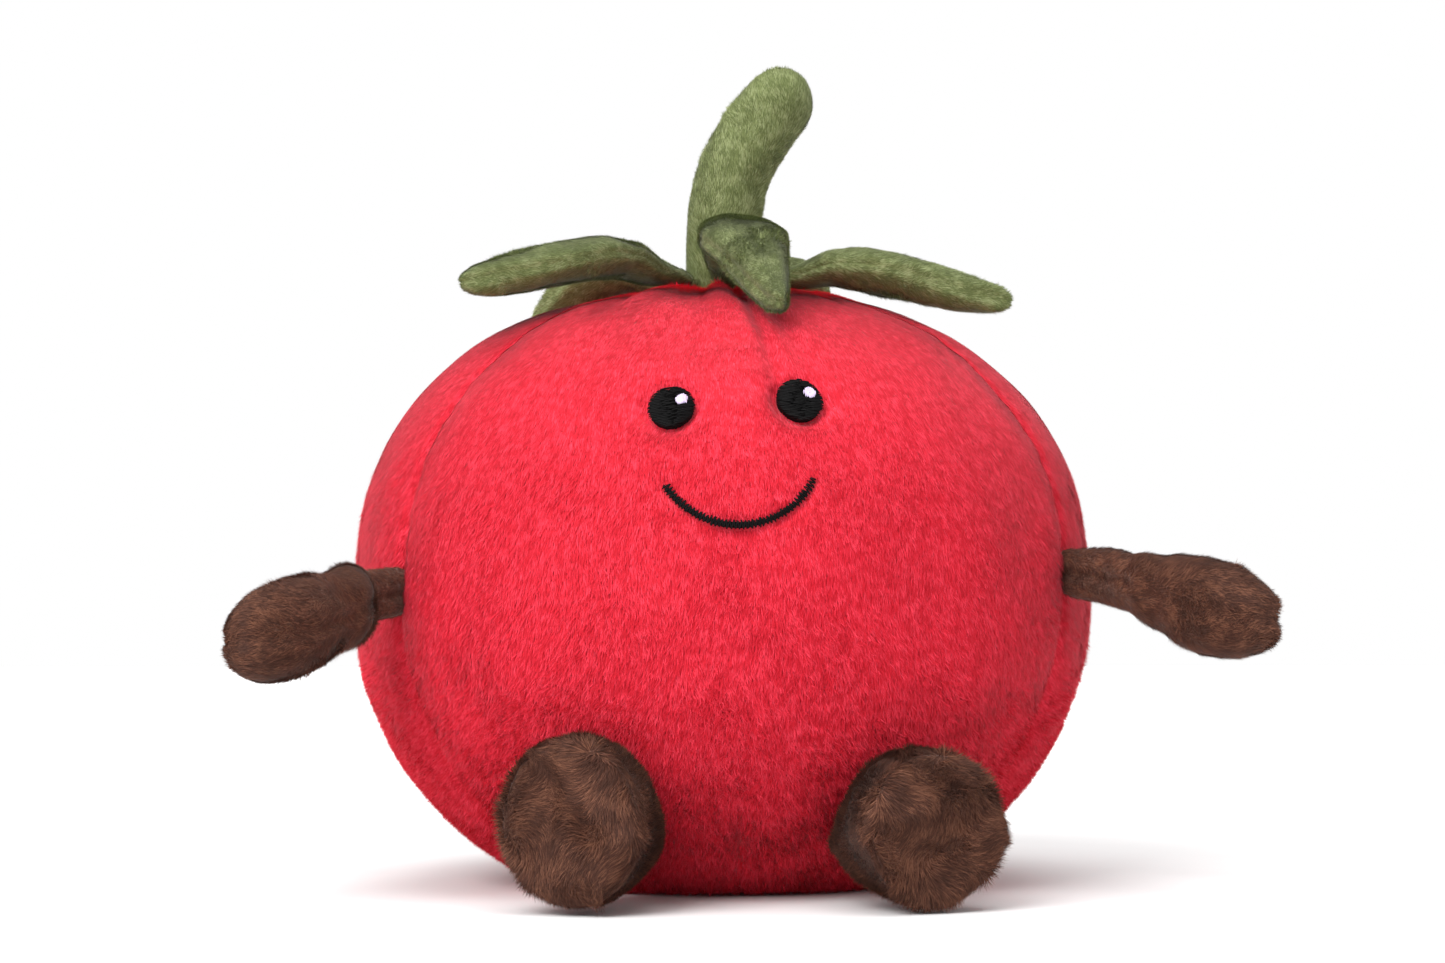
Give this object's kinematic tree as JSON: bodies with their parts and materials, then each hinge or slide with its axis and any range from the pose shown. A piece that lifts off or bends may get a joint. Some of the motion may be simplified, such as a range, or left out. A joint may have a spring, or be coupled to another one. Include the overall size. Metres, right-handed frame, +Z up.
{
  "type": "plush tomato toy",
  "caption": "Round stuffed plush tomato with a stitched smiling face, stubby arms and feet, draped leaves and a bent stem.",
  "frame": {"origin": "centre of the flat resting face under the body, on the body's axis", "axes": "+Z up, -Y the way the toy faces, +X towards the side of its right-hand edge as a viewer in front sees it"},
  "size_m": [0.2414, 0.1923, 0.2026],
  "materials": {
    "red_plush": "short soft pile",
    "green_plush": "short soft pile",
    "brown_plush": "soft pile",
    "black_thread": "satin stitch embroidery",
    "light_thread": "satin stitch embroidery",
    "red_thread": "sewing thread",
    "filling": "loose polyester fibre",
    "pouch_cloth": "plain woven cloth",
    "pellets": "small loose pellets"
  },
  "bodies": {
    "torso": {"base_panel": "red_plush", "front_left_gore": "red_plush", "front_right_gore": "red_plush", "side_right_gore": "red_plush", "back_right_gore": "red_plush", "back_left_gore": "red_plush", "side_left_gore": "red_plush", "body_filling": "filling", "pellet_pouch": "pouch_cloth", "pellets": "pellets", "left_eye": "black_thread", "right_eye": "black_thread", "left_glint": "light_thread", "right_glint": "light_thread", "smile": "black_thread", "closing_stitches": "red_thread", "left_arm_tab": "brown_plush", "right_arm_tab": "brown_plush"},
    "left_arm": {"left_arm_upper": "brown_plush", "left_arm_lower": "brown_plush", "left_arm_filling": "filling"},
    "right_arm": {"right_arm_upper": "brown_plush", "right_arm_lower": "brown_plush", "right_arm_filling": "filling"},
    "left_leg": {"left_foot_outer": "brown_plush", "left_foot_inner": "brown_plush", "left_foot_sole": "brown_plush", "left_foot_filling": "filling"},
    "right_leg": {"right_foot_outer": "brown_plush", "right_foot_inner": "brown_plush", "right_foot_sole": "brown_plush", "right_foot_filling": "filling"},
    "front_leaf": {"front_leaf_top": "green_plush", "front_leaf_under": "green_plush", "front_leaf_filling": "filling"},
    "right_leaf": {"right_leaf_top": "green_plush", "right_leaf_under": "green_plush", "right_leaf_filling": "filling"},
    "back_right_leaf": {"back_right_leaf_top": "green_plush", "back_right_leaf_under": "green_plush", "back_right_leaf_filling": "filling"},
    "back_left_leaf": {"back_left_leaf_top": "green_plush", "back_left_leaf_under": "green_plush", "back_left_leaf_filling": "filling"},
    "left_leaf": {"left_leaf_top": "green_plush", "left_leaf_under": "green_plush", "left_leaf_filling": "filling"},
    "stem": {"stem_front": "green_plush", "stem_back": "green_plush", "stem_filling": "filling"}
  },
  "joints": [
    {"name": "left_arm_swing", "type": "hinge", "parent": "torso", "child": "left_arm", "pos_m": [-0.08206, -0.04738, 0.0705], "axis": [0, 0, 1], "range_deg": [-40, 20], "stiffness_Nm_per_rad": 0.02},
    {"name": "right_arm_swing", "type": "hinge", "parent": "torso", "child": "right_arm", "pos_m": [0.08198, -0.04733, 0.0755], "axis": [0, 0, -1], "range_deg": [-28, 35], "stiffness_Nm_per_rad": 0.02},
    {"name": "left_leg_drop", "type": "hinge", "parent": "torso", "child": "left_leg", "pos_m": [-0.02802, -0.06443, 0.01429], "axis": [0.9171, -0.3987, 0], "range_deg": [0, 55], "stiffness_Nm_per_rad": 0.02},
    {"name": "right_leg_drop", "type": "hinge", "parent": "torso", "child": "right_leg", "pos_m": [0.02802, -0.06443, 0.01429], "axis": [0.9171, 0.3987, 0], "range_deg": [0, 55], "stiffness_Nm_per_rad": 0.02},
    {"name": "front_leaf_lift", "type": "hinge", "parent": "torso", "child": "front_leaf", "pos_m": [0.00071, -0.01348, 0.1481], "axis": [-0.9986, -0.0523, 0], "range_deg": [0, 45], "stiffness_Nm_per_rad": 0.02},
    {"name": "right_leaf_lift", "type": "hinge", "parent": "torso", "child": "right_leaf", "pos_m": [0.01333, -0.00211, 0.1481], "axis": [-0.1564, -0.9877, 0], "range_deg": [0, 45], "stiffness_Nm_per_rad": 0.02},
    {"name": "back_right_leaf_lift", "type": "hinge", "parent": "torso", "child": "back_right_leaf", "pos_m": [0.00613, 0.01203, 0.1481], "axis": [0.891, -0.454, 0], "range_deg": [0, 45], "stiffness_Nm_per_rad": 0.02},
    {"name": "back_left_leaf_lift", "type": "hinge", "parent": "torso", "child": "back_left_leaf", "pos_m": [-0.00955, 0.00955, 0.1481], "axis": [0.7071, 0.7071, 0], "range_deg": [0, 45], "stiffness_Nm_per_rad": 0.02},
    {"name": "left_leaf_lift", "type": "hinge", "parent": "torso", "child": "left_leaf", "pos_m": [-0.01223, -0.00571, 0.1481], "axis": [-0.4226, 0.9063, 0], "range_deg": [0, 45], "stiffness_Nm_per_rad": 0.02},
    {"name": "stem_tilt", "type": "hinge", "parent": "torso", "child": "stem", "pos_m": [0, 0, 0.1481], "axis": [0, 1, 0], "range_deg": [-15, 15], "stiffness_Nm_per_rad": 0.02}
  ]
}
